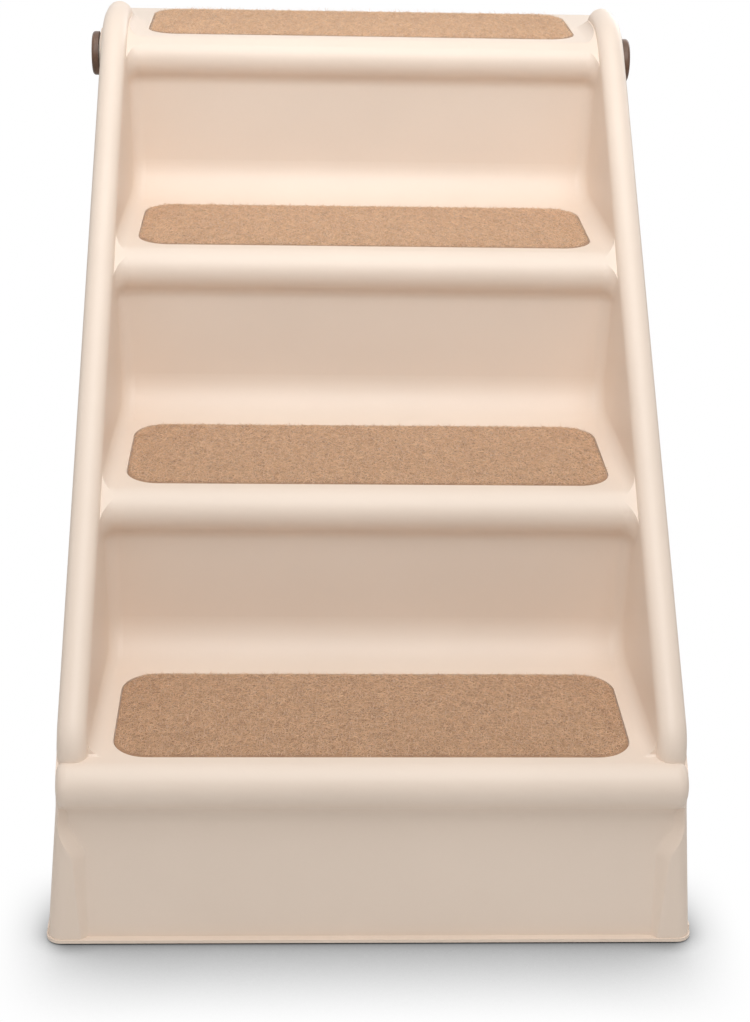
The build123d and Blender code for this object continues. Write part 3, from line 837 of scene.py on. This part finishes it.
@dataclass
class Studio:
    """Floor, lamps and the camera that the picture was taken with."""

    focal_pixels: float = 2000.0
    picture_height: float = 1022.0
    sensor: float = 36.0
    camera_place: Place = (-0.0510, -1.3655, 0.7658)
    pitch: float = 23.56
    yaw: float = 2.55
    roll: float = -1.34
    far_limit: float = 50.0
    floor_half: float = 12.0
    floor_grey: float = 0.75
    world_strength: float = 0.43
    world_colour: Colour = (1.0, 0.955, 0.905, 1.0)
    wall_colour: Colour = (1.0, 1.0, 1.0, 1.0)
    shade_reach: float = 90.0 * MM
    shade_power: float = 1.62
    contact_reach: float = 14.0 * MM
    shade_rays: int = 16
    shade_aside: tuple[float, float] = (192.0 * MM, 247.0 * MM)
    shade_back: tuple[float, float] = (-310.0 * MM, -210.0 * MM)
    lamps: tuple[Lamp, ...] = (
        Lamp("over", (0, -0.25, 1.5), (0, 0.1, 0.4), (1.1, 0.9), 4.8),
        Lamp("front", (0.1, -0.85, 1.2), (0, 0.2, 0.5), (0.9, 0.7), 5.0),
        Lamp("left", (-0.9, -1.1, 1.0), (0, 0, 0.3), (0.8, 0.8), 1.2),
        Lamp("top", (0, 0.25, 1.75), (0, 0.05, 0.4), (1.5, 1.2), 1.3),
        Lamp("high", (0, -0.5, 1.05), (0, 0.2, 0.47), (0.5, 0.2), 0.1, 50.0),
        Lamp("back", (1.0, 1.5, 0.9), (0, 0.15, 0.2), (1.0, 0.8), 6.0),
    )

    def camera(self) -> None:
        """Places the camera."""
        pitch, yaw, roll = (math.radians(angle) for angle in (self.pitch, self.yaw, self.roll))
        ahead = Vector((math.sin(yaw) * math.cos(pitch), math.cos(yaw) * math.cos(pitch), -math.sin(pitch)))
        right = Vector((math.cos(yaw), -math.sin(yaw), 0))
        down = ahead.cross(right)
        image_right = math.cos(roll) * right + math.sin(roll) * down
        image_down = math.cos(roll) * down - math.sin(roll) * right
        data = bpy.data.cameras.new("camera")
        data.sensor_width = self.sensor
        data.lens = self.focal_pixels * self.sensor / self.picture_height
        data.clip_end = self.far_limit
        camera = show("camera", data)
        turn = Matrix((image_right, -image_down, -ahead)).transposed().to_4x4()
        camera.matrix_world = Matrix.Translation(self.camera_place) @ turn
        bpy.context.scene.camera = camera

    def _nearness(self, board: Board, reach: float) -> bpy.types.NodeSocket:
        """Measures how open the floor is round a point.

        Args:
            board: The floor material's board.
            reach: How far it looks.

        Returns:
            The openness, 1 where nothing is near.
        """
        near = board.add("ShaderNodeAmbientOcclusion", {"Distance": reach}, samples=self.shade_rays)
        return near.outputs["AO"]

    @staticmethod
    def _fade(board: Board, value: bpy.types.NodeSocket, ends: tuple[float, float]) -> bpy.types.NodeSocket:
        """Fades from 1 to 0 between two values.

        Args:
            board: The floor material's board.
            value: The value's socket.
            ends: Where the fade starts and ends.

        Returns:
            The fading share.
        """
        limits = {"From Min": ends[0], "From Max": ends[1], "To Min": 1, "To Max": 0}
        ramp = board.add("ShaderNodeMapRange", limits, interpolation_type="SMOOTHSTEP")
        board.join(value, ramp.inputs["Value"])
        return ramp.outputs[0]

    def _contact_shade(self, board: Board) -> bpy.types.NodeSocket:
        """Shades white down where the base is near, in front of the stairs and at its front corners.

        Args:
            board: The floor material's board.

        Returns:
            The shade from 0 to 1.
        """
        place = board.add("ShaderNodeNewGeometry")
        split = board.add("ShaderNodeSeparateXYZ")
        board.join(place.outputs["Position"], split.inputs[0])
        aside = self._fade(board, board.reckon("ABSOLUTE", split.outputs["X"]), self.shade_aside)
        share = board.reckon("MULTIPLY", aside, self._fade(board, split.outputs["Y"], self.shade_back))
        wide = board.reckon("POWER", self._nearness(board, self.shade_reach), self.shade_power)
        dark = board.reckon("MULTIPLY", wide, self._nearness(board, self.contact_reach))
        mix = board.add("ShaderNodeMix", {2: 1}, data_type="FLOAT")
        board.join(share, mix.inputs[0])
        board.join(dark, mix.inputs[3])
        return mix.outputs[0]

    def floor(self) -> None:
        """Lays a floor that shows white with a contact shade, and lights the stairs as pale grey."""
        work = bmesh.new()
        bmesh.ops.create_grid(work, x_segments=1, y_segments=1, size=self.floor_half)
        floor = show("floor", mesh_from("floor", work))
        material = bpy.data.materials.new("floor")
        board = Board.cleared(material)
        end = board.add("ShaderNodeOutputMaterial")
        grey = (self.floor_grey, self.floor_grey, self.floor_grey, 1)
        matt = board.add("ShaderNodeBsdfDiffuse", {"Color": grey})
        shown = board.add("ShaderNodeEmission")
        pick = board.add("ShaderNodeMixShader")
        ray = board.add("ShaderNodeLightPath")
        board.join(self._contact_shade(board), shown.inputs["Color"])
        board.join(ray.outputs["Is Camera Ray"], pick.inputs[0])
        board.join(matt.outputs[0], pick.inputs[1])
        board.join(shown.outputs[0], pick.inputs[2])
        board.join(pick.outputs[0], end.inputs["Surface"])
        dress(floor, material)

    def world(self) -> None:
        """Fills the room with even, slightly warm light and shows white behind the floor."""
        world = bpy.data.worlds.new("room")
        bpy.context.scene.world = world
        board = Board.cleared(world)
        end = board.add("ShaderNodeOutputWorld")
        light = {"Color": self.world_colour, "Strength": self.world_strength}
        air = board.add("ShaderNodeBackground", light)
        wall = board.add("ShaderNodeBackground", {"Color": self.wall_colour})
        pick = board.add("ShaderNodeMixShader")
        ray = board.add("ShaderNodeLightPath")
        seen = board.reckon("MAXIMUM", ray.outputs["Is Camera Ray"], ray.outputs["Is Glossy Ray"])
        board.join(seen, pick.inputs[0])
        board.join(air.outputs[0], pick.inputs[1])
        board.join(wall.outputs[0], pick.inputs[2])
        board.join(pick.outputs[0], end.inputs["Surface"])

    def build(self) -> None:
        """Sets up camera, floor, world and lamps."""
        self.camera()
        self.floor()
        self.world()
        for lamp in self.lamps:
            lamp.hang()
        bpy.context.scene.view_settings.view_transform = "Standard"


def corners(box: tuple[Vector, Vector]) -> list[list[float]]:
    """Writes a box as plain lists of numbers."""
    return [[round(v, 6) for v in corner] for corner in box]


def main() -> None:
    """Builds and dresses the stairs piece by piece."""
    logging.basicConfig(level=logging.INFO)
    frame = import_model()
    shelf = FinishShelf()
    for part in (MouldedStairs(shelf), FoldingLeg(shelf)):
        for piece in part.build(frame["nodes"]):
            LOG.info("dressed %s", piece.name)
    for step in TREADS:
        for piece in TreadCarpet(shelf, step).build():
            LOG.info("built %s", piece.name)
    Studio().build()


if __name__ == "__main__":
    main()
